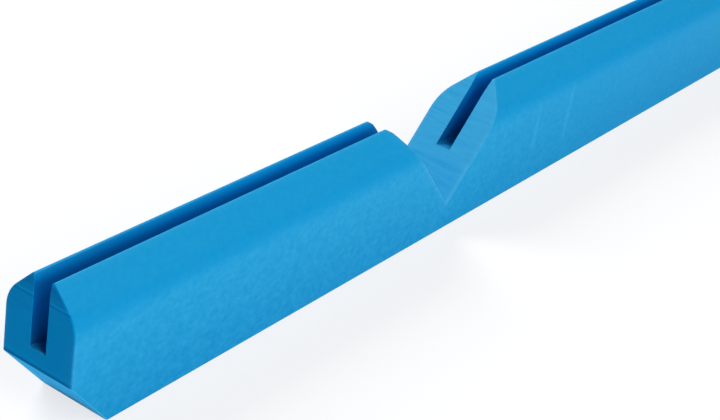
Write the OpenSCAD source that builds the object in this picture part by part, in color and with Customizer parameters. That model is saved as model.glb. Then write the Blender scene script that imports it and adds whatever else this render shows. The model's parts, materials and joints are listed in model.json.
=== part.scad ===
// Slotted bar that folds at a V-notch: two arms joined by a flexing web.
// The bar lies along X on its flat base, with its slot and its lips upwards.
// The origin is the middle of the base.

/* [Bar] */
// Length of the bar from end to end
bar_l = 400; // [340:1:600]
// Width of the bar across its sides
bar_w = 22; // [21:0.5:30]
// Height of the lips above the base
bar_h = 40; // [37:0.5:50]
// Height at which the line of a roof slope meets the line of its side
shoulder_h = 32; // [28:0.5:34]
// Radius that rounds the shoulder between roof slope and side
shoulder_r = 10; // [3:0.5:10.5]
// Radius along the two lower edges of the base
base_edge_r = 0.8; // [0.3:0.1:2]

/* [Slot] */
// Width of the slot between its walls
slot_w = 5; // [4.4:0.1:7]
// Depth of the slot below the lips
slot_d = 19.5; // [14:0.5:22]
// Radius of each lip's tip
lip_r = 0.4; // [0.3:0.05:0.8]
// How far each slot wall leans out at the mouth, as a lead-in
lead_in = 0.3; // [0.2:0.1:1]
// Depth of the lead-in below the lips
lead_in_d = 3.5; // [2:0.5:6]

/* [Notch] */
// Distance from the front end to the fold line
front_l = 162; // [120:1:180]
// Angle between the two faces of the notch
notch_angle = 87; // [70:1:92]
// Thickness of the web that the notch leaves above the base
web_t = 9; // [6:0.5:13]
// Length of bar on each side of the fold line that flexes
web_run = 9; // [6:0.5:12]

/* [Ends] */
// Height on the end face at which the undercut bevel starts
bevel_h = 15.5; // [6:0.5:17]
// Length that the undercut bevel takes off the base
bevel_run = 14; // [6:0.5:18]

/* [Hidden] */
$fn = 64;
bar_blue = "#1C96D1";
// Overshoot of every cutting shape past the faces that it opens
over = 2;
front_x = -bar_l / 2;
rear_x = bar_l / 2;
fold_x = front_x + front_l;
half_w = bar_w / 2;
slot_floor = bar_h - slot_d;

// Depth to which a straight run is sunk into the circle that ends it, for a clean edge
bite = 0.002;

// Lip: its tip is a circle, beside the mouth of the slot and as high as the bar
tip_c = [slot_w / 2 + lead_in + lip_r, bar_h - lip_r];

// Roof slope: the line from the shoulder point that touches the lip circle on its outer side
roof_run = [half_w, shoulder_h] - tip_c;
roof_angle = atan2(-roof_run[1], roof_run[0]) + asin(lip_r / norm(roof_run));
roof_normal = [sin(roof_angle), cos(roof_angle)];
tip_outer = tip_c + (lip_r - bite) * roof_normal;

// Shoulder: a circle that touches both the side and the roof slope
shoulder_drop = shoulder_r * tan((90 - roof_angle) / 2);
shoulder_c = [half_w - shoulder_r, shoulder_h - shoulder_drop];
shoulder_top = shoulder_c + (shoulder_r - bite) * roof_normal;

// Lead-in: the line from the top of the slot wall that touches the lip circle on its inner side
wall_top = [slot_w / 2, bar_h - lead_in_d];
lead_run = tip_c - wall_top;
lead_angle = atan2(lead_run[0], lead_run[1]) - asin((lip_r - bite) / norm(lead_run));
tip_inner = tip_c + (lip_r - bite) * [-cos(lead_angle), sin(lead_angle)];
mouth_edge = wall_top + (lead_in_d + over) * [tan(lead_angle), 1];

// Half the bar's section, as Y and Z, with the slot still filled
module half_outline() {
    polygon([
        [0, 0],
        [half_w - base_edge_r, 0],
        [half_w, base_edge_r],
        [half_w, shoulder_c[1]],
        shoulder_top,
        tip_outer,
        tip_inner,
        [0, tip_inner[1]]
    ]);
    translate([half_w - base_edge_r, base_edge_r])
        circle(base_edge_r);
    translate(shoulder_c)
        circle(shoulder_r);
    translate(tip_c)
        circle(lip_r);
}

// The slot, with the lead-in at its mouth
module slot_outline() {
    right = [[slot_w / 2, slot_floor], wall_top, mouth_edge];
    left = [for (i = [len(right) - 1:-1:0]) [-right[i][0], right[i][1]]];
    polygon(concat(right, left));
}

// The whole section: both halves, less the slot
module bar_section() {
    difference() {
        union() {
            half_outline();
            mirror([1, 0])
                half_outline();
        }
        slot_outline();
    }
}

// The bar between two places along its length
module bar_between(x0, x1) {
    translate([x0, 0, 0])
        rotate([90, 0, 90])
            linear_extrude(x1 - x0)
                bar_section();
}

// A prism right across the bar, from its side view as X and Z
module across_bar(outline) {
    translate([0, half_w + over, 0])
        rotate([90, 0, 0])
            linear_extrude(bar_w + 2 * over)
                polygon(outline);
}

// The V that the notch takes out, with its point on the fold line
module notch_cut() {
    depth = bar_h - web_t + over;
    half_mouth = depth * tan(notch_angle / 2);
    across_bar([
        [fold_x, web_t],
        [fold_x + half_mouth, web_t + depth],
        [fold_x - half_mouth, web_t + depth]
    ]);
}

// The wedge that bevels the foot of an end at x = 0, for a bar that runs towards +X
module bevel_cut() {
    rise = bevel_h / bevel_run;
    across_bar([
        [-over, bevel_h + over * rise],
        [-over, -over * rise],
        [bevel_run + over, -over * rise]
    ]);
}

// Arm from the bevelled front end to the web
module front_arm() {
    color(bar_blue)
        difference() {
            bar_between(front_x, fold_x - web_run);
            notch_cut();
            translate([front_x, 0, 0])
                bevel_cut();
        }
}

// Web under the notch, which bends as the bar folds
module hinge_web() {
    color(bar_blue)
        difference() {
            bar_between(fold_x - web_run, fold_x + web_run);
            notch_cut();
        }
}

// Arm from the web to the bevelled rear end
module rear_arm() {
    color(bar_blue)
        difference() {
            bar_between(fold_x + web_run, rear_x);
            notch_cut();
            translate([rear_x, 0, 0])
                mirror([1, 0, 0])
                    bevel_cut();
        }
}

front_arm();
hinge_web();
rear_arm();
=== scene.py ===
"""Slotted bar of blue polyurethane that folds at a V-notch: skins, finishes, studio and camera.

Lengths are in millimetres until a mesh is made, and every mesh is in metres.
The bar lies along X on its base, its slot opens upwards and the notch's point is the fold line.
"""

import json
import logging
import math
from abc import ABC, abstractmethod
from collections.abc import Callable
from dataclasses import dataclass, field
from enum import Enum, IntEnum
from functools import cached_property, partial

import bmesh
import bpy
import numpy as np
from mathutils import Matrix, Vector


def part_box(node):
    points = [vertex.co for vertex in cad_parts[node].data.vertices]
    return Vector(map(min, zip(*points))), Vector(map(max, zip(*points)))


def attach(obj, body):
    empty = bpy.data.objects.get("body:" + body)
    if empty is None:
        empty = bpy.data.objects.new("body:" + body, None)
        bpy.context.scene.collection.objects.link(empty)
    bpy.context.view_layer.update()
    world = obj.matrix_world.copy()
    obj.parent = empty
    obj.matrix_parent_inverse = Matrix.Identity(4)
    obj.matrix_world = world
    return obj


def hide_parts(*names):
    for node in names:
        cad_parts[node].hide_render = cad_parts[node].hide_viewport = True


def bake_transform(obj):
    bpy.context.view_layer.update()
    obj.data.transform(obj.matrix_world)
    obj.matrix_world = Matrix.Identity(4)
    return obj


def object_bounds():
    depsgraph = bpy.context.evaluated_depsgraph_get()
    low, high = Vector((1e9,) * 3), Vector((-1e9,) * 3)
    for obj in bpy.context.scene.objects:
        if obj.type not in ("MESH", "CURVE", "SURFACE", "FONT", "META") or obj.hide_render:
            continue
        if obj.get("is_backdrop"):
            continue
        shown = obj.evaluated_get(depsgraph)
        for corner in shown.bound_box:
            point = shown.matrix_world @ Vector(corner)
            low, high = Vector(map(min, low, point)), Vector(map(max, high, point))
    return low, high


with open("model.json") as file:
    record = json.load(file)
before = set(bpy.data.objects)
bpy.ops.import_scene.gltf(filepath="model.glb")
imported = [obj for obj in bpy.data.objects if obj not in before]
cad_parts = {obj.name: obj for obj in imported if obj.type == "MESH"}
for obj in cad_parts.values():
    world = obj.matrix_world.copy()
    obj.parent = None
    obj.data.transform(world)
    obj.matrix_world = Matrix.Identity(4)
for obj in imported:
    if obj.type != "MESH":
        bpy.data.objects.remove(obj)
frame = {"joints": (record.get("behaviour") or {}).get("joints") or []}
CAD_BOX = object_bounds()

LOG = logging.getLogger("slotted_bar")
PHOTO_W = 720
MM = 0.001
# Heights in millimetres that differ by less than this are the same
SAME_MM = 1e-6
# Colour sockets of a Mix node: its two inputs and its output
MIX_A, MIX_B, MIX_OUT = 6, 7, 2
# Blender's noise lies round this mean, and mostly within this distance of it
NOISE_MEAN, NOISE_SPREAD = 0.5, 0.25
WHITE = "#FFFFFF"

Tree = bpy.types.NodeTree
Node = bpy.types.Node
Socket = bpy.types.NodeSocket
Level = Node | Socket | float
Feeds = dict[str | int, Level | tuple[float, ...]]
Adder = Callable[..., Node]
Piece = bpy.types.Object
Material = bpy.types.Material
Array = np.ndarray
Span = tuple[float, float]
Steps = tuple[float, ...]


class Body(Enum):
    """Bodies of the frame that the skins ride on."""

    FRONT = "front"
    REAR = "rear"


class Surface(IntEnum):
    """How a face was made, which is also its material slot on every skin."""

    CAST = 0
    FINE_SAWN = 1
    COARSE_SAWN = 2
    SANDED = 3


def linear(hex_colour: str) -> tuple[float, float, float, float]:
    """Turns an sRGB hex colour to linear light.

    Args:
        hex_colour: six hex digits after a hash sign.

    Returns:
        Red, green, blue and an alpha of 1.
    """
    srgb = np.array([int(hex_colour[i:i + 2], 16) for i in (1, 3, 5)]) / 255
    light = np.where(srgb <= 0.04045, srgb / 12.92, ((srgb + 0.055) / 1.055) ** 2.4)
    return (*light.tolist(), 1.0)


def per_metre(size_mm: float) -> float:
    """Texture scale at which a pattern on metre coordinates has features of that size."""
    return 1 / (size_mm * MM)


def between(span_mm: Span) -> dict[str, float]:
    """The two ends of a span, in metres, by the names of the sockets that take them."""
    return {"From Min": span_mm[0] * MM, "From Max": span_mm[1] * MM}


def chord(height: Array, radius: float) -> Array:
    """Half width of a circle at a height: the root of radius squared less height squared."""
    return np.sqrt(np.maximum(radius ** 2 - height ** 2, 0))


def fade(distance: Array, length: Array | float) -> Array:
    """Falls from 1 with the distance: e to the power of minus distance over length."""
    return np.exp(-np.maximum(distance, 0) / length)


def add_node(tree: Tree, kind: str, sockets: Feeds | None = None, **settings: str) -> Node:
    """Adds one shader node with its settings, its values and its links.

    Args:
        tree: node tree to add to.
        kind: Blender's name of the node's type, less its prefix.
        sockets: input name or number to a value, to the output socket that feeds it, or to a node whose
            first output feeds it.
        **settings: attributes of the node.

    Returns:
        The new node.
    """
    node = tree.nodes.new("ShaderNode" + kind)
    for name, value in settings.items():
        setattr(node, name, value)
    for name, value in (sockets or {}).items():
        source = value.outputs[0] if isinstance(value, Node) else value
        if isinstance(source, Socket):
            tree.links.new(source, node.inputs[name])
        else:
            node.inputs[name].default_value = source
    return node


@dataclass(frozen=True)
class Mark:
    """A straight band on a surface, lighter or darker than what is round it.

    It falls to nothing at its half width, and towards its two ends over end_fade times that.
    """

    place_mm: float
    half_mm: float
    strength: float
    low_mm: float = -1000.0
    high_mm: float = 1000.0
    end_fade: float = 3.0

    def draw(self, add: Adder, along: Socket, across: Socket) -> Node:
        """Adds the mark: a smooth step over the half width times a smooth step over the ends.

        Args:
            add: adds a node to the tree.
            along: coordinate that runs along the mark.
            across: coordinate that crosses the mark.

        Returns:
            Node that gives the mark's strength at each point.
        """
        middle = (self.low_mm + self.high_mm) / 2
        reach = (self.high_mm - self.low_mm) / 2
        full = max(reach - self.end_fade * self.half_mm, 0)
        steps = []
        for axis, centre, span, most in ((across, self.place_mm, (0.0, self.half_mm), self.strength),
                                         (along, middle, (full, reach), 1.0)):
            off = add("Math", {0: axis, 1: centre * MM}, operation="SUBTRACT")
            away = add("Math", {0: off}, operation="ABSOLUTE")
            steps.append(add("MapRange", {"Value": away, **between(span), "To Min": most, "To Max": 0.0},
                             interpolation_type="SMOOTHSTEP"))
        return add("Math", dict(enumerate(steps)), operation="MULTIPLY")


@dataclass(frozen=True)
class Polyurethane(ABC):
    """Solid polyurethane, blue right through: a matt surface with a wide, weak sheen.

    Rims go pale where they are rubbed, because scuffed polyurethane scatters more white light.
    """

    name: str
    deep_colour: str
    pale_colour: str
    rub_colour: str = "#5DB6E2"
    rub_share: float = 0.3
    # Colour of a painted glow in the slot, standing for light that passes through the plastic
    glow_colour: str = "#002858"
    roughness: float = 0.6
    ior: float = 1.5
    sheen_level: float = 0.04
    bump_mm: float = 0.05
    bump_share: float = 0.22

    @abstractmethod
    def surface(self, add: Adder, place: Socket) -> tuple[Socket, Node, Level]:
        """Adds the pattern: its colour, its height from 0 to 1, and its painted glow."""

    def material(self) -> Material:
        """Builds the node material from the pattern, the rubbed rims and the sheen.

        Returns:
            The finished material.
        """
        made = bpy.data.materials.new(self.name)
        made.use_nodes = True
        made.node_tree.nodes.clear()
        add = partial(add_node, made.node_tree)
        place = add("TexCoord").outputs["Object"]
        colour, height, painted_glow = self.surface(add, place)
        rub = add("Attribute", attribute_name="rub").outputs["Fac"]
        rubbed = add("Math", {0: rub, 1: self.rub_share}, operation="MULTIPLY")
        worn = add("Mix", {0: rubbed, MIX_A: colour, MIX_B: linear(self.rub_colour)}, data_type="RGBA")
        bump = add("Bump", {"Height": height, "Strength": self.bump_share, "Distance": self.bump_mm * MM})
        # Its emission is the painted glow
        shader = add("BsdfPrincipled", {"Base Color": worn.outputs[MIX_OUT], "Roughness": self.roughness,
                                        "IOR": self.ior, "Specular IOR Level": self.sheen_level,
                                        "Normal": bump, "Emission Color": linear(self.glow_colour),
                                        "Emission Strength": painted_glow})
        add("OutputMaterial", {"Surface": shader})
        return made


@dataclass(frozen=True, kw_only=True)
class CastPolyurethane(Polyurethane):
    """Skin as the mould left it: even roof, chalky and mottled sides, and painted shade in the slot.

    The chalk starts below the shoulder and thins out towards the foot and the rear. A painted shade
    darkens the slot from its mouth downwards and most towards the front end, except on bands of its floor
    by the notch and by the ends, where light reaches it. A painted glow lights its deeper walls.
    """

    # Bands across the slot's floor that the painted shade leaves out, where light reaches the floor
    lit_floor_bands: tuple[Mark, ...]
    # Tone of the plain skin from the deep colour, 0, to the pale one, 1, and what chalk adds to it
    plain_tone: float = 0.25
    chalk_tone: float = 0.27
    # Heights over which the chalk sets in, and places along the bar over which it thins to a share
    chalk_span_mm: Span = (31.5, 26.0)
    thin_span_mm: Span = (-40.0, 60.0)
    thin_share: float = 0.55
    # Painted shade: a faint darker band along the start of the shoulder
    bare: Mark = Mark(32.0, 3.5, -0.13)
    # Two faint upright scratches on the near side of the rear arm
    scratches: tuple[Mark, ...] = (
        Mark(13.4, 2.2, 0.35, low_mm=8.5, high_mm=30.0),
        Mark(35.4, 1.9, 0.35, low_mm=5.5, high_mm=32.0),
    )
    scratched_mm: float = -10.0
    # Mottle, drawn out a little along the bar, and its spread on the roof and on the sides
    mottle_mm: float = 1.5
    drawn_share: float = 0.75
    mottle_spread: Span = (0.5, 1.45)
    mottle_octaves: float = 5.0
    mottle_rough: float = 0.7
    # The mould's grain, about 0.1 mm in the real skin, is too fine to show and is drawn coarser
    grain_mm: float = 0.9
    grain_octaves: float = 2.0
    # The slot's place, the colours of its painted shade, the heights over which they set in, and the least
    # painted shade on its walls at two places along the bar, which is more at the front end
    slot: Mark = Mark(0.0, 3.0, 1.0, low_mm=20.0, high_mm=39.7)
    mouth_shade_colour: str = "#009DE0"
    slot_shade_colour: str = "#006FB8"
    deep_shade_colour: str = "#034A80"
    mouth_shade_span_mm: Span = (39.4, 37.3)
    deep_shade_span_mm: Span = (36.0, 30.0)
    wall_shade_span_mm: Span = (-180.0, -120.0)
    wall_shade: Span = (0.45, 0.22)
    # Height that only the floor lies below, and the share of the painted glow that is left on it
    floor_mm: float = 20.8
    floor_glow: float = 0.25

    def tone(self, add: Adder, place: Socket) -> Node:
        """Adds the skin's tone: plain tone, chalk, mottle, the painted shade band on the shoulder and the
        scratches.

        The chalk is a smooth step below the shoulder times the height over the foot. The mottle is noise
        about its mean, times a spread that follows the same step.

        Args:
            add: adds a node to the tree.
            place: Object coordinates in metres.

        Returns:
            Tone between the deep colour, 0, and the pale one, 1.
        """
        x, y, z = add("SeparateXYZ", {0: place}).outputs
        step = add("MapRange", {"Value": z, **between(self.chalk_span_mm)},
                   interpolation_type="SMOOTHSTEP")
        lift = add("MapRange", {"Value": z, **between((0.0, self.chalk_span_mm[1])),
                                "To Max": self.chalk_tone})
        thin = add("MapRange", {"Value": x, **between(self.thin_span_mm), "To Min": 1.0,
                                "To Max": self.thin_share})
        below = add("Math", {0: step, 1: thin}, operation="MULTIPLY")
        chalk = add("Math", {0: below, 1: lift, 2: self.plain_tone}, operation="MULTIPLY_ADD")
        drawn = add("Mapping", {"Vector": place, "Scale": (self.drawn_share, 1.0, 1.0)})
        mottle = add("TexNoise", {"Vector": drawn, "Scale": per_metre(self.mottle_mm),
                                  "Detail": self.mottle_octaves, "Roughness": self.mottle_rough})
        patchy = add("Math", {0: mottle, 1: NOISE_MEAN}, operation="SUBTRACT")
        roof, side = self.mottle_spread
        spread = add("MapRange", {"Value": below, "To Min": roof, "To Max": side})
        tone = add("Math", {0: patchy, 1: spread, 2: chalk}, operation="MULTIPLY_ADD")
        # Painted shade along the start of the shoulder
        band = self.bare.draw(add, along=x, across=z)
        tone = add("Math", {0: tone, 1: band}, operation="ADD")
        near = add("Math", {0: y, 1: self.scratched_mm * MM}, operation="LESS_THAN")
        for scratch in self.scratches:
            line = scratch.draw(add, along=z, across=x)
            tone = add("Math", {0: line, 1: near, 2: tone}, operation="MULTIPLY_ADD")
        return tone

    def paint_slot_shade(self, add: Adder, place: Socket) -> tuple[Socket, Node, Node]:
        """Adds the slot's painted shade, darker with depth, over all but the lit floor bands, and a
        painted glow.

        The shade is the larger of the depth's share and the walls' least, which is most at the front end.
        The painted glow grows with the depth and falls again towards the floor.

        Args:
            add: adds a node to the tree.
            place: Object coordinates in metres.

        Returns:
            Colour of the painted shade, how far it covers the skin, and the painted glow.
        """
        x, y, z = add("SeparateXYZ", {0: place}).outputs
        sunk = add("MapRange", {"Value": z, **between(self.mouth_shade_span_mm)})
        deep = add("MapRange", {"Value": z, **between(self.deep_shade_span_mm)})
        most, least = self.wall_shade
        front_shade = add("MapRange", {"Value": x, **between(self.wall_shade_span_mm), "To Min": most,
                                   "To Max": least})
        # Painted shade in the slot: darker from the mouth downwards and towards the front end
        upper = add("Mix", {0: sunk, MIX_A: linear(self.mouth_shade_colour), MIX_B: linear(self.slot_shade_colour)},
                    data_type="RGBA")
        depth_shade = add("Math", {0: deep, 1: front_shade}, operation="MAXIMUM")
        slot_shade = add("Mix", {0: depth_shade, MIX_A: upper.outputs[MIX_OUT], MIX_B: linear(self.deep_shade_colour)},
                   data_type="RGBA")
        # Light reaches these bands of the floor, so the painted shade is left off them
        lit_band: Level = 0.0
        for mark in self.lit_floor_bands:
            line = mark.draw(add, along=z, across=x)
            lit_band = add("Math", {0: lit_band, 1: line}, operation="MAXIMUM")
        floor = add("Math", {0: z, 1: self.floor_mm * MM}, operation="LESS_THAN")
        lit_floor = add("Math", {0: lit_band, 1: floor}, operation="MULTIPLY")
        kept = add("Math", {0: 1.0, 1: lit_floor}, operation="SUBTRACT")
        inside = add("Math", {0: self.slot.draw(add, along=z, across=y), 1: 0.0},
                     operation="GREATER_THAN")
        cover = add("Math", {0: inside, 1: kept}, operation="MULTIPLY")
        # Painted glow: grows with the depth and falls again towards the floor
        rise = add("MapRange", {"Value": z, **between((self.floor_mm, self.deep_shade_span_mm[1])),
                                "To Min": self.floor_glow})
        light = add("Math", {0: deep, 1: rise}, operation="MULTIPLY")
        painted_glow = add("Math", {0: cover, 1: light}, operation="MULTIPLY")
        return slot_shade.outputs[MIX_OUT], cover, painted_glow

    def surface(self, add: Adder, place: Socket) -> tuple[Socket, Node, Level]:
        """Adds the skin by its tone, the slot's painted shade over it, and a fine grain as height.

        Args:
            add: adds a node to the tree.
            place: Object coordinates in metres.

        Returns:
            Colour, height for the bump and painted glow.
        """
        skin = add("Mix", {0: self.tone(add, place), MIX_A: linear(self.deep_colour),
                           MIX_B: linear(self.pale_colour)}, data_type="RGBA")
        slot_shade, cover, painted_glow = self.paint_slot_shade(add, place)
        # Lays the slot's painted shade over the skin
        shaded_skin = add("Mix", {0: cover, MIX_A: skin.outputs[MIX_OUT], MIX_B: slot_shade}, data_type="RGBA")
        grain = add("TexNoise", {"Vector": place, "Scale": per_metre(self.grain_mm),
                                 "Detail": self.grain_octaves})
        return shaded_skin.outputs[MIX_OUT], grain, painted_glow


@dataclass(frozen=True, kw_only=True)
class SawnPolyurethane(Polyurethane):
    """Face as a saw or a sander left it: fine lines straight across the bar, and bands where it stopped.

    Real lines lie about 0.2 mm apart, too fine to show, so they are drawn two or three times as coarse.
    """

    line_mm: float
    line_share: float
    stops: tuple[Mark, ...]
    line_length_mm: float = 9.0
    # Share of the pattern's scale that is kept along the bar
    along_share: float = 0.3
    octaves: float = 3.0
    octave_rough: float = 0.6
    mean_tone: float = 0.5

    def surface(self, add: Adder, place: Socket) -> tuple[Socket, Node, Level]:
        """Adds noise that is drawn out across the bar and changes with height, and the stops.

        Args:
            add: adds a node to the tree.
            place: Object coordinates in metres.

        Returns:
            Colour, height for the bump, and no painted glow.
        """
        _, y, z = add("SeparateXYZ", {0: place}).outputs
        stretch = (self.along_share, self.line_mm / self.line_length_mm, 1.0)
        drawn = add("Mapping", {"Vector": place, "Scale": stretch})
        lines = add("TexNoise", {"Vector": drawn, "Scale": per_metre(self.line_mm),
                                 "Detail": self.octaves, "Roughness": self.octave_rough})
        tone = add("MapRange", {"Value": lines, "From Min": NOISE_MEAN - NOISE_SPREAD,
                                "From Max": NOISE_MEAN + NOISE_SPREAD,
                                "To Min": self.mean_tone - self.line_share / 2,
                                "To Max": self.mean_tone + self.line_share / 2})
        for stop in self.stops:
            line = stop.draw(add, along=y, across=z)
            tone = add("Math", {0: tone, 1: line}, operation="ADD")
        face = add("Mix", {0: tone, MIX_A: linear(self.deep_colour), MIX_B: linear(self.pale_colour)},
                   data_type="RGBA")
        return face.outputs[MIX_OUT], tone, 0.0


@dataclass(frozen=True)
class BarSection:
    """The bar's section: half widths of its outside and of its slot at each height.

    Upwards from the base come an edge radius, the side, the shoulder's arc, the straight roof slope and
    the round lip. The slot has a flat floor, upright walls and a lead-in that leans out to the lips.
    """

    half_w: float
    height: float
    shoulder_h: float = 32.0
    shoulder_r: float = 10.0
    base_edge_r: float = 0.8
    slot_w: float = 5.0
    slot_d: float = 19.5
    lip_r: float = 0.4
    lead_in: float = 0.3
    lead_in_d: float = 3.5
    # Rows of the mesh: spacing on the side, and counts on the small edges, the shoulder and the roof
    side_step: float = 2.0
    edge_rows: int = 7
    shoulder_rows: int = 16
    roof_rows: int = 5

    @cached_property
    def floor_z(self) -> float:
        """Height of the slot's floor."""
        return self.height - self.slot_d

    @cached_property
    def wall(self) -> float:
        """Half width of the slot between its upright walls."""
        return self.slot_w / 2

    @cached_property
    def quarter(self) -> Array:
        """Angles of the rows round the base's edge, from the base to the side."""
        return np.linspace(0, math.pi / 2, self.edge_rows)

    @cached_property
    def lip(self) -> Array:
        """Centre of the lip's circle, as half width and height."""
        return np.array([self.wall + self.lead_in + self.lip_r, self.height - self.lip_r])

    @cached_property
    def roof_fall(self) -> float:
        """Fall of the roof: angle of the line from the shoulder point that touches the lip's circle."""
        run = np.array([self.half_w, self.shoulder_h]) - self.lip
        return math.atan2(-run[1], run[0]) + math.asin(self.lip_r / np.hypot(*run))

    @cached_property
    def roof_normal(self) -> Array:
        """Unit normal of the roof slope."""
        return np.array([math.sin(self.roof_fall), math.cos(self.roof_fall)])

    @cached_property
    def shoulder(self) -> Array:
        """Centre of the shoulder's circle, which touches the side and the roof slope."""
        drop = self.shoulder_r * math.tan((math.pi / 2 - self.roof_fall) / 2)
        return np.array([self.half_w - self.shoulder_r, self.shoulder_h - drop])

    @cached_property
    def roof_foot(self) -> Array:
        """Point where the shoulder's arc ends and the roof slope starts."""
        return self.shoulder + self.shoulder_r * self.roof_normal

    @cached_property
    def roof_top(self) -> Array:
        """Point where the roof slope ends and the lip's circle starts."""
        return self.lip + self.lip_r * self.roof_normal

    @cached_property
    def wall_top(self) -> Array:
        """Point where the slot's wall starts to lean out."""
        return np.array([self.wall, self.height - self.lead_in_d])

    @cached_property
    def lead_top(self) -> Array:
        """Touch point of the lead-in on the inner side of the lip's circle.

        Returns:
            Half width and height.
        """
        run = self.lip - self.wall_top
        lean = math.atan2(run[0], run[1]) - math.asin(self.lip_r / np.hypot(*run))
        return self.lip + self.lip_r * np.array([-math.cos(lean), math.sin(lean)])

    def outer(self, z: Array) -> Array:
        """Half width of the outside: quarter circle, upright, arc, slope and lip circle in turn.

        Args:
            z: heights above the base.

        Returns:
            Half width at each height.
        """
        slope = np.interp(z, [self.roof_foot[1], self.roof_top[1]], [self.roof_foot[0], self.roof_top[0]])
        return np.select(
            [z < self.base_edge_r, z <= self.shoulder[1], z <= self.roof_foot[1], z <= self.roof_top[1]],
            [self.half_w - self.base_edge_r + chord(z - self.base_edge_r, self.base_edge_r),
             np.full_like(z, self.half_w),
             self.shoulder[0] + chord(z - self.shoulder[1], self.shoulder_r),
             slope],
            self.lip[0] + chord(z - self.lip[1], self.lip_r))

    def inner(self, z: Array) -> Array:
        """Half width of the slot: upright wall, leaning lead-in and the lip's circle in turn.

        Args:
            z: heights above the base; below the floor the wall's half width is carried on.

        Returns:
            Half width at each height.
        """
        lead = np.interp(z, [self.wall_top[1], self.lead_top[1]], [self.wall_top[0], self.lead_top[0]])
        return np.where(z <= self.lead_top[1], lead, self.lip[0] - chord(z - self.lip[1], self.lip_r))

    def heights(self, extra: Array) -> Array:
        """Heights of the rows that the section needs, from the base to the lips.

        Args:
            extra: further heights that have to be rows.

        Returns:
            Sorted heights, each once.
        """
        steep = math.pi / 2 - self.roof_fall
        side_rows = round((self.shoulder[1] - self.base_edge_r) / self.side_step) + 1
        rows = np.concatenate([
            self.base_edge_r * (1 - np.cos(self.quarter)),
            np.linspace(self.base_edge_r, self.shoulder[1], side_rows),
            self.shoulder[1] + self.shoulder_r * np.sin(np.linspace(0, steep, self.shoulder_rows)),
            np.linspace(self.roof_foot[1], self.roof_top[1], self.roof_rows),
            self.lip[1] + self.lip_r * np.sin(np.linspace(steep, math.pi / 2, self.edge_rows)),
            [self.floor_z, self.wall_top[1], self.lead_top[1]],
            extra,
        ])
        return np.unique(np.round(rows, 6))


@dataclass(frozen=True)
class Rim:
    """Rounded edge between a cut face and the bar's skin.

    Line k of the edge turns through an angle p: it lies r (1 - cos p) in from the skin and r (1 - sin p)
    back from the cut. Its paleness fades over rub_mm.
    """

    radius: float
    slot_radius: float
    steps: int = 4
    rub_mm: float = 0.5

    @cached_property
    def turn(self) -> Array:
        """Angles of the edge's lines, from the skin to the cut."""
        return np.linspace(0, math.pi / 2, self.steps)

    @cached_property
    def across(self) -> Array:
        """Shares of the radius that the lines lie in from the skin."""
        return 1 - np.cos(self.turn)

    @cached_property
    def back(self) -> Array:
        """Shares of the radius that the lines lie back from the cut."""
        return 1 - np.sin(self.turn)


@dataclass(frozen=True)
class EndFace(ABC):
    """One cut end of an arm: where its face lies at each height and how its lips are worn.

    The lips' corners are worn to a quarter of an ellipse, lip_run long and lip_drop high. The paleness of
    its rubbed rim fades along the skin over rub_mm.
    """

    outward: float
    place: float
    crease_z: float
    slope: float
    lip_run: float
    lip_drop: float
    rub_mm: float = 0.5

    @abstractmethod
    def reach(self, z: Array, inset: Array) -> Array:
        """Place along X of the face at heights z, drawn into the arm by inset."""

    @abstractmethod
    def rows(self, rim: Array) -> Array:
        """Heights that the face needs as rows, for the rim's insets."""

    @abstractmethod
    def open_share(self, z: Array) -> Array:
        """Share of the rim that lies open to rubbing at heights z."""

    @abstractmethod
    def cut(self, z: Array) -> Array:
        """Kind of surface between rows, from the rows' middle heights."""

    def lip_wear(self, z: Array, top: float) -> Array:
        """Inset of the worn lip: run times one less the root of one less the height's share squared.

        Args:
            z: heights above the base.
            top: height of the lips.

        Returns:
            Inset along the bar at each height.
        """
        share = np.clip((z - top + self.lip_drop) / self.lip_drop, 0, 1)
        return self.lip_run * (1 - np.sqrt(1 - share ** 2))


@dataclass(frozen=True)
class BevelledEnd(EndFace):
    """Upright end whose foot is cut back below the crease, with a crease that is a little rounded."""

    crease_soft: float = 0.25
    crease_rows: int = 5
    # Share by which the end's sides are rubbed, and where that runs out below the crease and on the roof
    side_rub: float = 0.5
    bevel_fade: float = 2.0
    roof_span: Span = (26.0, 32.0)

    def reach(self, z: Array, inset: Array) -> Array:
        """Upright place less a ramp below the crease, which starts as a parabola.

        Args:
            z: heights above the base.
            inset: how far the face is drawn into the arm.

        Returns:
            Place along X at each height.
        """
        below = self.crease_z - z
        soft = self.crease_soft
        start = (below + soft) ** 2 / (4 * soft)
        ramp = np.where(below < -soft, 0, np.where(below > soft, below, start))
        return self.place - self.outward * (self.slope * ramp + inset)

    def rows(self, rim: Array) -> Array:
        """A few rows over the rounded crease."""
        return self.crease_z + self.crease_soft * np.linspace(-1, 1, self.crease_rows)

    def open_share(self, z: Array) -> Array:
        """The side's share, which runs out just below the crease and over the roof's span."""
        stops = [self.crease_z - self.bevel_fade, self.crease_z, *self.roof_span]
        return np.interp(z, stops, [0.0, self.side_rub, self.side_rub, 0.0])

    def cut(self, z: Array) -> Array:
        """Fine saw on the upright face, sanded bevel below it."""
        return np.where(z > self.crease_z, int(Surface.FINE_SAWN), int(Surface.SANDED))


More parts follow.
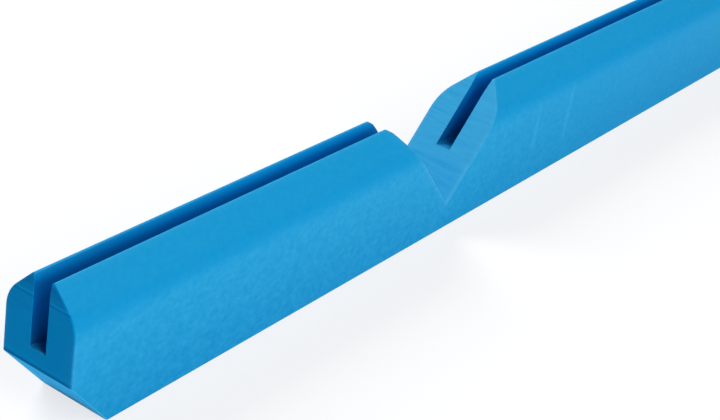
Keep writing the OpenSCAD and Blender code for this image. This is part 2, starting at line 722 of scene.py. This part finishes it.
@dataclass(frozen=True)
class NotchFace(EndFace):
    """Face of the notch above the crease, and below it the upright seat on the web."""

    # The rub runs out just below the crease, and falls to a share over the roof's span
    seat_fade: float = 0.4
    roof_span: Span = (24.0, 31.0)
    roof_rub: float = 0.35

    def reach(self, z: Array, inset: Array) -> Array:
        """The seat's place, or the notch's slope drawn in by the inset where that lies further in."""
        return self.place - self.outward * np.maximum(0, self.slope * (z - self.crease_z) + inset)

    def rows(self, rim: Array) -> Array:
        """Rows where each line of the rim leaves the seat."""
        return self.crease_z - rim / self.slope

    def open_share(self, z: Array) -> Array:
        """The whole rim above the seat, less on the roof."""
        seat = np.clip((z - self.crease_z) / self.seat_fade + 1, 0, 1)
        return seat * np.interp(z, self.roof_span, [1, self.roof_rub])

    def cut(self, z: Array) -> Array:
        """Coarse saw all over."""
        return np.full(z.shape, int(Surface.COARSE_SAWN))


@dataclass
class Patchwork:
    """Grids of points that are sewn into one closed mesh."""

    patches: list[tuple[Array, ...]] = field(default_factory=list)
    count: int = 0
    # Points closer than this, in metres, are one, and edges that turn more than this stay crisp
    merge: float = 1e-6
    sharp_deg: float = 40.0

    def add(self, grid: Array, rub: Array, kind: Array | Surface) -> None:
        """Adds one grid of points.

        Args:
            grid: points in millimetres, rows by columns by three.
            rub: how far each point is rubbed pale, rows by columns.
            kind: Surface of the faces, one value or one for each row of faces.
        """
        rows, columns = grid.shape[:2]
        index = self.count + np.arange(rows * columns).reshape(rows, columns)
        corners = [index[:-1, :-1], index[1:, :-1], index[1:, 1:], index[:-1, 1:]]
        quads = np.stack(corners, axis=-1).reshape(-1, 4)
        kinds = np.broadcast_to(np.asarray(kind).reshape(-1, 1), (rows - 1, columns - 1))
        self.patches.append((grid.reshape(-1, 3) * MM, rub.ravel(), quads, kinds.ravel()))
        self.count += rows * columns

    def sew(self, name: str) -> Piece:
        """Makes the mesh, joins the grids along their shared points and turns the faces outwards.

        Args:
            name: name of the new piece.

        Returns:
            The piece, at the origin.
        """
        mesh = bpy.data.meshes.new(name)
        points, rubs, quads, kinds = (np.concatenate(column) for column in zip(*self.patches))
        mesh.from_pydata(points.tolist(), [], quads.tolist())
        rub = mesh.attributes.new("rub", "FLOAT", "POINT")
        rub.data.foreach_set("value", rubs.astype(np.float32))
        mesh.polygons.foreach_set("material_index", kinds.astype(np.int32))
        sewn = bmesh.new()
        sewn.from_mesh(mesh)
        bmesh.ops.remove_doubles(sewn, verts=sewn.verts, dist=self.merge)
        bmesh.ops.holes_fill(sewn, edges=[e for e in sewn.edges if e.is_boundary])
        bmesh.ops.recalc_face_normals(sewn, faces=sewn.faces)
        sewn.to_mesh(mesh)
        sewn.free()
        mesh.shade_smooth()
        mesh.set_sharp_from_angle(angle=math.radians(self.sharp_deg))
        piece = bpy.data.objects.new(name, mesh)
        bpy.context.scene.collection.objects.link(piece)
        even = piece.modifiers.new("even_shading", "WEIGHTED_NORMAL")
        even.keep_sharp = True
        return piece


@dataclass
class BarPart(ABC):
    """A stretch of the bar with a skin of its own, which stands in for one node of the frame."""

    node: str
    section: BarSection
    rim: Rim

    @abstractmethod
    def build(self) -> Piece:
        """Builds the part's skin, at the origin."""

    @abstractmethod
    def settle(self, skin: Piece) -> None:
        """Sets the skin on what carries it."""

    @property
    def skin_name(self) -> str:
        """Name of the part's skin."""
        return f"{self.node}_skin"

    def dress(self, skin: Piece, finishes: list[Material]) -> None:
        """Gives the skin its finishes, sets it on what carries it and stands it in for its node.

        Args:
            skin: the part's skin.
            finishes: materials in the order of Surface.
        """
        for finish in finishes:
            skin.data.materials.append(finish)
        self.settle(skin)
        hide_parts(self.node)


@dataclass
class Arm(BarPart):
    """One straight arm of the bar between two cut ends."""

    body: Body
    low: EndFace
    high: EndFace
    stations: int
    lip_rub: float = 0.35
    # Height over the slot's floor at which its rims have their full radius
    rim_rise: float = 0.6
    # Most of a wall's thickness that one rim may take
    rim_room: float = 0.42
    # Columns across the slot's floor, columns of a wall between its rims, and stations next to a rim
    floor_count: int = 9
    wall_shares: Steps = (0.05, 0.15, 0.35, 0.5, 0.65, 0.85, 0.95)
    rim_stations: Steps = (0.0, 0.3, 0.9, 2.0, 5.0)

    @cached_property
    def rows(self) -> Array:
        """Heights of all rows: the section's, both ends' and two over the slot's floor.

        Returns:
            Sorted heights.
        """
        rounding = self.rim.radius * self.rim.back
        floor = self.section.floor_z + self.rim_rise * np.array([0.5, 1.0])
        extra = np.concatenate([self.low.rows(rounding), self.high.rows(rounding), floor])
        return self.section.heights(extra)

    @cached_property
    def floor_columns(self) -> Array:
        """Columns across the slot's floor, from the far wall to the near one."""
        return np.linspace(self.section.wall, -self.section.wall, self.floor_count)

    @cached_property
    def wall_block(self) -> tuple[Array, Array, Array]:
        """Columns from the outside to the slot, with the rounded rims at both sides.

        Returns:
            Half width, inset from the cut and paleness of the rubbed rim, rows by columns.
        """
        z = self.rows
        outer = self.section.outer(z)[:, None]
        inner = self.section.inner(z)[:, None]
        room = self.rim_room * (outer - inner)
        rise = np.clip((z - self.section.floor_z) / self.rim_rise, 0, 1)[:, None]
        outer_r = np.minimum(self.rim.radius, room)
        inner_r = np.minimum(self.rim.slot_radius, room) * rise
        share = np.array(self.wall_shares)
        left = outer - outer_r
        right = inner + inner_r
        y = np.hstack([
            outer - outer_r * self.rim.across,
            left + (right - left) * share,
            inner + inner_r * self.rim.across[::-1],
        ])
        inset = np.hstack([
            outer_r * self.rim.back,
            np.zeros_like(outer * share),
            inner_r * self.rim.back[::-1],
        ])
        return y, inset, fade(outer - y, self.rim.rub_mm)

    def cap(self, work: Patchwork, end: EndFace) -> None:
        """Covers one cut end: a block on each side of the slot and one below its floor.

        Args:
            work: patchwork to add to.
            end: the end to cover.
        """
        y, inset, paleness = self.wall_block
        z = np.broadcast_to(self.rows[:, None], y.shape)
        x = end.reach(z, inset + end.lip_wear(z, self.section.height))
        rub = paleness * end.open_share(z)
        kind = end.cut((self.rows[1:] + self.rows[:-1]) / 2)
        for side in (1, -1):
            work.add(np.stack([x, side * y, z], axis=-1), rub, kind)
        below = self.rows[self.rows <= self.section.floor_z + SAME_MM]
        y_mid, z_mid = np.meshgrid(self.floor_columns, below)
        x_mid = end.reach(z_mid, np.zeros_like(z_mid))
        work.add(np.stack([x_mid, y_mid, z_mid], axis=-1), np.zeros_like(x_mid), kind[:len(below) - 1])

    def lines(self) -> tuple[Array, Array]:
        """Lines from the far lip to the near one, round the base and over the slot's floor.

        Each is half a line, as Y, Z and the inset from the cut, and its mirror image.

        Returns:
            Outside and slot, points by three.
        """
        y, inset, _ = self.wall_block
        middle = np.zeros((3, self.floor_count // 2))
        middle[0] = self.floor_columns[1:self.floor_count // 2 + 1]
        base = np.stack([y[0], np.zeros_like(y[0]), inset[0]])
        outside = np.stack([y[:0:-1, 0], self.rows[:0:-1], inset[:0:-1, 0]])
        floor = np.searchsorted(self.rows, self.section.floor_z - SAME_MM)
        slot = np.stack([y[floor:, -1], self.rows[floor:], inset[floor:, -1]])[:, ::-1]
        lifted = middle + [[0], [self.section.floor_z], [0]]
        halves = (np.hstack([outside, base, middle]), np.hstack([slot, lifted]))
        return tuple(np.hstack([half, half[:, -2::-1] * [[-1], [1], [1]]]).T for half in halves)

    def sweep(self, work: Patchwork, line: Array, rim_rub: float) -> None:
        """Carries a line of the section from the low end's rim to the high end's rim.

        Args:
            work: patchwork to add to.
            line: points as Y, Z and how far the rim lies back from the cut.
            rim_rub: how pale the rims are rubbed.
        """
        y, z, inset = line.T
        top = self.section.height
        start = self.low.reach(z, inset + self.low.lip_wear(z, top))
        stop = self.high.reach(z, inset + self.high.lip_wear(z, top))
        near_rim = np.array(self.rim_stations) / np.max(stop - start)
        middle = np.linspace(near_rim[-1], 1 - near_rim[-1], self.stations)
        along = np.concatenate([near_rim[:-1], middle, 1 - near_rim[-2::-1]])[:, None]
        x = start + (stop - start) * along
        lips = np.clip((z - self.section.roof_top[1]) / self.section.lip_r + 1, 0, 1)
        rims = np.maximum(fade(x - start, self.low.rub_mm) * self.low.open_share(z),
                          fade(stop - x, self.high.rub_mm) * self.high.open_share(z))
        rub = np.maximum(rim_rub * rims, self.lip_rub * lips)
        grid = np.stack([x, np.broadcast_to(y, x.shape), np.broadcast_to(z, x.shape)], axis=-1)
        work.add(grid, rub, Surface.CAST)

    def build(self) -> Piece:
        """Builds the arm's skin: outside, slot and both cut ends.

        Returns:
            The skin, at the origin.
        """
        work = Patchwork()
        outside, slot = self.lines()
        self.sweep(work, outside, rim_rub=1.0)
        self.sweep(work, slot, rim_rub=0.0)
        self.cap(work, self.low)
        self.cap(work, self.high)
        return work.sew(self.skin_name)

    def settle(self, skin: Piece) -> None:
        """Sets the arm on its body."""
        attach(skin, self.body.value)


@dataclass
class HingeWeb(BarPart):
    """The bridge under the notch, which bends as the bar folds."""

    fold_x: float
    run: float
    thickness: float
    slope: float
    fillet: float = 0.4
    # Rubbed paleness below the notch's rim fades over this length on the front side
    front_rub_mm: float = 1.2
    # Columns of the base, rows of the side as shares of its plain height and as depths below the rim, and
    # columns of the notch as shares of its half width
    base_columns: int = 6
    side_shares: Steps = (0.35, 0.7, 1.0)
    rim_depths: Steps = (2.0, 0.9, 0.3)
    notch_shares: Steps = (0.96, 0.9, 0.75, 0.5, 0.25, 0.0)
    # Stations as shares of the run: in the fillet, then next to it and out to the arm, both as first, last
    # and count
    point_shares: Steps = (0.0, 0.02, 0.044)
    near_shares: tuple[float, float, int] = (0.09, 0.45, 9)
    far_shares: tuple[float, float, int] = (0.53, 1.0, 5)

    def loop(self, offset: Array) -> tuple[Array, Array, int]:
        """Section of the web at each offset from the fold line.

        Its top is the notch: thickness plus offset over slope, with a parabola in the point.

        Args:
            offset: places along the bar, from the fold line.

        Returns:
            Points, stations by loop by three, how far each is rubbed pale, and where the notch starts.
        """
        away = np.abs(offset)
        rounded = np.where(away < self.fillet, (away ** 2 / self.fillet + self.fillet) / 2, away)
        top = (self.thickness + rounded / self.slope)[:, None]
        quarter = self.section.quarter
        edge_r = self.section.base_edge_r
        half_w = self.section.half_w
        rim_r = self.rim.radius
        base_y = np.linspace(0, half_w - edge_r, self.base_columns)[:-1]
        rim_drop = rim_r / self.slope
        side_top = top - rim_drop
        plain_h = side_top - self.rim_depths[0] - edge_r
        side_z = np.hstack([edge_r + plain_h * self.side_shares, side_top - self.rim_depths[1:]])
        notch_y = (half_w - rim_r) * np.array(self.notch_shares)
        y = np.concatenate([base_y, half_w - edge_r * (1 - np.sin(quarter)),
                            np.full(side_z.shape[1], half_w),
                            half_w - rim_r * self.rim.across, notch_y])
        flat = np.ones_like(top)
        z = np.hstack([flat * np.zeros_like(base_y), flat * (edge_r * (1 - np.cos(quarter))),
                       side_z, top - rim_drop * self.rim.back, top * np.ones_like(notch_y)])
        inward = np.where(z > side_top - SAME_MM, half_w - rim_r - y, 0)
        below_rub = np.where(offset < 0, self.front_rub_mm, self.rim.rub_mm)[:, None]
        rub = fade(side_top - z, below_rub) * fade(inward, self.rim.rub_mm)
        half = np.stack([np.broadcast_to((self.fold_x + offset)[:, None], z.shape),
                         np.broadcast_to(y, z.shape), z], axis=-1)
        mirrored = half[:, -2::-1] * [1, -1, 1]
        return (np.concatenate([half, mirrored], axis=1),
                np.concatenate([rub, rub[:, -2::-1]], axis=1),
                len(base_y) + len(quarter) + side_z.shape[1])

    def build(self) -> Piece:
        """Builds the web: the loop carried along the bar, and its two seats.

        Returns:
            The web, at the origin.
        """
        half = self.run * np.concatenate([self.point_shares, np.linspace(*self.near_shares),
                                          np.linspace(*self.far_shares)])
        offset = np.concatenate([-half[:0:-1], half])
        points, rub, notch = self.loop(offset)
        end = points.shape[1] - 1
        strips = [(0, notch, Surface.CAST),
                  (notch, end - notch, Surface.COARSE_SAWN),
                  (end - notch, end, Surface.CAST)]
        work = Patchwork()
        for first, last, kind in strips:
            work.add(points[:, first:last + 1], rub[:, first:last + 1], kind)
        return work.sew(self.skin_name)

    def settle(self, skin: Piece) -> None:
        """Bakes the web's place into its mesh, which stays at the origin.

        Args:
            skin: the web's skin.
        """
        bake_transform(skin)


@dataclass
class Bar:
    """The whole bar: two arms and the web between them, sized from the frame."""

    notch_angle: float = 87.0
    bevel_h: float = 15.5
    bevel_run: float = 14.0
    rim: Rim = Rim(radius=0.35, slot_radius=0.12)
    # Half lengths of the slot's floor, by the notch and by the ends, that the painted shade leaves out
    # where light reaches it
    notch_lit_half: float = 22.0
    end_lit_half: float = 6.0

    @cached_property
    def box(self) -> Array:
        """Lowest and highest corner of the frame's solids."""
        return np.array(CAD_BOX) / MM

    @cached_property
    def fold(self) -> Array:
        """Point of the notch, which is on the frame's fold joint."""
        return np.array(frame["joints"][0]["pos_m"]) / MM

    def parts(self) -> list[BarPart]:
        """Works the parts out from the frame's boxes and its fold joint.

        Returns:
            Front arm, web and rear arm.
        """
        low, high = self.box.tolist()
        fold_x, _, web_t = self.fold.tolist()
        run = fold_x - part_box("hinge_web")[0][0] / MM
        slope = math.tan(math.radians(self.notch_angle / 2))
        shared = {"section": BarSection(half_w=high[1], height=high[2]), "rim": self.rim}
        bevel = {"crease_z": self.bevel_h, "slope": self.bevel_run / self.bevel_h,
                 "lip_run": 0.5, "lip_drop": 0.5}
        notch = {"crease_z": web_t + run / slope, "slope": slope}
        # The front arm's lips are worn further back at the notch, where the bar is pushed
        front = Arm("front_arm", **shared, body=Body.FRONT, stations=28,
                    low=BevelledEnd(outward=-1, place=low[0], **bevel),
                    high=NotchFace(outward=1, place=fold_x - run, lip_run=2.2, lip_drop=1.8, rub_mm=1.0,
                                   **notch))
        web = HingeWeb("hinge_web", **shared, fold_x=fold_x, run=run, thickness=web_t, slope=slope)
        rear = Arm("rear_arm", **shared, body=Body.REAR, stations=40,
                   low=NotchFace(outward=-1, place=fold_x + run, lip_run=0.8, lip_drop=0.7, **notch),
                   high=BevelledEnd(outward=1, place=high[0], **bevel))
        return [front, web, rear]

    def finishes(self) -> list[Material]:
        """Makes the finishes in the order of Surface.

        Returns:
            Cast skin, fine sawn ends, coarse sawn notch and sanded bevels.
        """
        # Bands of the slot's floor that its painted shade leaves out, where light reaches the floor
        lit_floor_bands = (Mark(self.fold[0], self.notch_lit_half, 1.0),
                 *(Mark(x, self.end_lit_half, 0.85) for x in self.box[:, 0]))
        # On an end: a dull top, then the pale and dark line of a stop, and a second stop over the crease
        end_stops = (Mark(38.0, 4.0, -0.3), Mark(34.7, 0.35, 0.25), Mark(34.1, 0.4, -0.4),
                     Mark(self.bevel_h + 1.6, 0.4, 0.2), Mark(self.bevel_h + 0.5, 0.6, -0.7))
        # In the notch: three short nicks on the far side, one long stop, and a face that dulls downwards
        notch_stops = (Mark(33.3, 0.3, -0.35, 3.5, 8.4), Mark(28.3, 0.3, -0.35, 4.0, 10.4),
                       Mark(25.6, 0.3, -0.3, 3.0, 7.6), Mark(17.0, 1.0, -0.25), Mark(9.0, 12.0, -0.3))
        # On a bevel: painted bounce light from the table, paler towards the foot
        bevel_bounce = (Mark(0.0, 12.0, 0.6),)
        return [
            # Moulded: soft and even to the eye, with a dusty bloom on the sides and painted shade in the
            # slot
            CastPolyurethane("cast_polyurethane", "#068EC9", "#33A6D6", lit_floor_bands=lit_floor_bands).material(),
            # Cut by a fine blade: flatter and deeper blue than the skin, with hardly any sheen
            SawnPolyurethane("fine_sawn_polyurethane", "#006BA8", "#009ADB", roughness=0.75,
                             sheen_level=0.02, line_mm=0.6, line_share=0.25, stops=end_stops).material(),
            # Cut by a coarse blade: torn lines that catch the light, so paler than the skin
            SawnPolyurethane("coarse_sawn_polyurethane", "#2092C7", "#42A6D4", bump_mm=0.08,
                             line_mm=0.6, line_share=0.5, stops=notch_stops).material(),
            # Sanded: scuffed all over and dull, and the palest face, partly from the sanding and partly as
            # painted bounce light on this downward face
            SawnPolyurethane("sanded_polyurethane", "#1597D3", "#48C0F4", roughness=0.8,
                             sheen_level=0.02, line_mm=0.5, line_share=0.3, stops=bevel_bounce).material(),
        ]


@dataclass(frozen=True)
class SoftBox:
    """A square lamp that lights the bar softly from one side."""

    name: str
    place: tuple[float, float, float]
    size: float
    watts: float
    colour: str = WHITE

    def build(self) -> None:
        """Makes the lamp and turns it to the bar."""
        data = bpy.data.lights.new(self.name, "AREA")
        data.size = self.size
        data.energy = self.watts
        data.color = linear(self.colour)[:3]
        lamp = bpy.data.objects.new(self.name, data)
        bpy.context.scene.collection.objects.link(lamp)
        lamp.location = self.place
        lamp.rotation_euler = (-Vector(self.place)).to_track_quat("-Z", "Y").to_euler()


@dataclass(frozen=True)
class Studio:
    """White table, soft lamps and an even fill."""

    fill: float = 0.02
    floor_half: float = 4.0
    floor_gap: float = 0.0001
    floor_colour: str = "#F4F4F4"
    # Share of the bar's shadow that the floor shows, and distances in metres over which it runs out
    shadow_share: float = 0.25
    shadow_span: Span = (0.3, 0.8)
    lamps: tuple[SoftBox, ...] = (
        SoftBox("near_lamp", (-0.3, -1.22, 1.04), 1.2, 24.3),
        SoftBox("back_lamp", (0.0, 1.13, 1.13), 0.9, 26.0),
        SoftBox("end_lamp", (-1.5, 0.0, 0.4), 0.9, 0.6, "#3C78FF"),
    )

    def seen(self, add: Adder) -> Node:
        """Adds the test for rays that look at the background, directly or in a gloss.

        Args:
            add: adds a node to the tree.

        Returns:
            Node that gives 1 on such rays.
        """
        path = add("LightPath").outputs
        gloss = add("Math", {0: path["Is Camera Ray"], 1: path["Is Glossy Ray"]}, operation="MAXIMUM")
        return add("Math", {0: gloss, 1: path["Is Transmission Ray"]}, operation="MAXIMUM")

    def build_world(self) -> None:
        """Fills the studio evenly, and shows white where a ray looks past the floor."""
        world = bpy.data.worlds.new("studio_fill")
        bpy.context.scene.world = world
        world.use_nodes = True
        world.node_tree.nodes.clear()
        add = partial(add_node, world.node_tree)
        fill = add("Background", {"Color": linear(WHITE), "Strength": self.fill})
        white = add("Background", {"Color": linear(WHITE), "Strength": 1.0})
        mix = add("MixShader", {0: self.seen(add), 1: fill, 2: white})
        add("OutputWorld", {"Surface": mix})

    def floor_material(self) -> Material:
        """Makes the table's finish: matt paint that keeps the bar's shadow, and white further out.

        Returns:
            The finished material.
        """
        made = bpy.data.materials.new("matt_white_table")
        made.use_nodes = True
        made.node_tree.nodes.clear()
        add = partial(add_node, made.node_tree)
        table = add("BsdfDiffuse", {"Color": linear(self.floor_colour)})
        white = add("Emission", {"Color": linear(WHITE), "Strength": 1.0})
        place = add("TexCoord").outputs["Object"]
        away = add("VectorMath", {0: place}, operation="LENGTH").outputs["Value"]
        near, far = self.shadow_span
        bare = add("MapRange", {"Value": away, "From Min": near, "From Max": far,
                                "To Min": 1 - self.shadow_share, "To Max": 1.0},
                   interpolation_type="SMOOTHSTEP")
        share = add("Math", {0: self.seen(add), 1: bare}, operation="MULTIPLY")
        mix = add("MixShader", {0: share, 1: table, 2: white})
        add("OutputMaterial", {"Surface": mix})
        return made

    def build_floor(self) -> None:
        """Lays the pale floor just under the bar."""
        half = self.floor_half
        square = ((-half, -half), (half, -half), (half, half), (-half, half))
        corners = [(x, y, -self.floor_gap) for x, y in square]
        mesh = bpy.data.meshes.new("floor")
        mesh.from_pydata(corners, [], [(0, 1, 2, 3)])
        mesh.materials.append(self.floor_material())
        floor = bpy.data.objects.new("floor", mesh)
        bpy.context.scene.collection.objects.link(floor)
        floor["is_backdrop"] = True

    def build(self) -> None:
        """Builds the fill, the floor and the lamps."""
        self.build_world()
        self.build_floor()
        for lamp in self.lamps:
            lamp.build()
        bpy.context.scene.view_settings.view_transform = "Standard"


@dataclass(frozen=True)
class PhotoCamera:
    """Camera at the photograph's place: looking along the bar from in front, above and to one side."""

    place: tuple[float, float, float] = (-0.429485, -0.216168, 0.229841)
    heading: float = 0.540924
    dip: float = 0.477197
    roll: float = 0.172099
    focal_px: float = 1616.295
    sensor_mm: float = 36.0
    nearest: float = 0.01

    def build(self) -> None:
        """Makes the camera and turns it by its heading, dip and roll."""
        ahead = Vector((math.cos(self.heading) * math.cos(self.dip),
                        math.sin(self.heading) * math.cos(self.dip),
                        -math.sin(self.dip)))
        level = Vector((math.sin(self.heading), -math.cos(self.heading), 0))
        above = level.cross(ahead)
        right = math.cos(self.roll) * level + math.sin(self.roll) * above
        up = math.cos(self.roll) * above - math.sin(self.roll) * level
        data = bpy.data.cameras.new("photo_camera")
        data.sensor_fit = "HORIZONTAL"
        data.sensor_width = self.sensor_mm
        data.lens = self.focal_px * self.sensor_mm / PHOTO_W
        data.clip_start = self.nearest
        camera = bpy.data.objects.new("photo_camera", data)
        bpy.context.scene.collection.objects.link(camera)
        turn = Matrix((right, up, -ahead)).transposed().to_4x4()
        camera.matrix_world = Matrix.Translation(self.place) @ turn
        bpy.context.scene.camera = camera


def write_sizes() -> None:
    """Works out the box of the solids and the box of the dressed bar, as plain lists, and keeps neither.
    """
    boxes = {"cad": CAD_BOX, "visual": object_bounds()}
    {name: [list(corner) for corner in box] for name, box in boxes.items()}


def main() -> None:
    """Builds the camera, the studio and the bar in order, and reports each piece."""
    logging.basicConfig(level=logging.INFO, format="%(name)s: %(message)s")
    PhotoCamera().build()
    Studio().build()
    bar = Bar()
    finishes = bar.finishes()
    for part in bar.parts():
        skin = part.build()
        part.dress(skin, finishes)
        LOG.info("%s: %d faces", skin.name, len(skin.data.polygons))
    write_sizes()


if __name__ == "__main__":
    main()
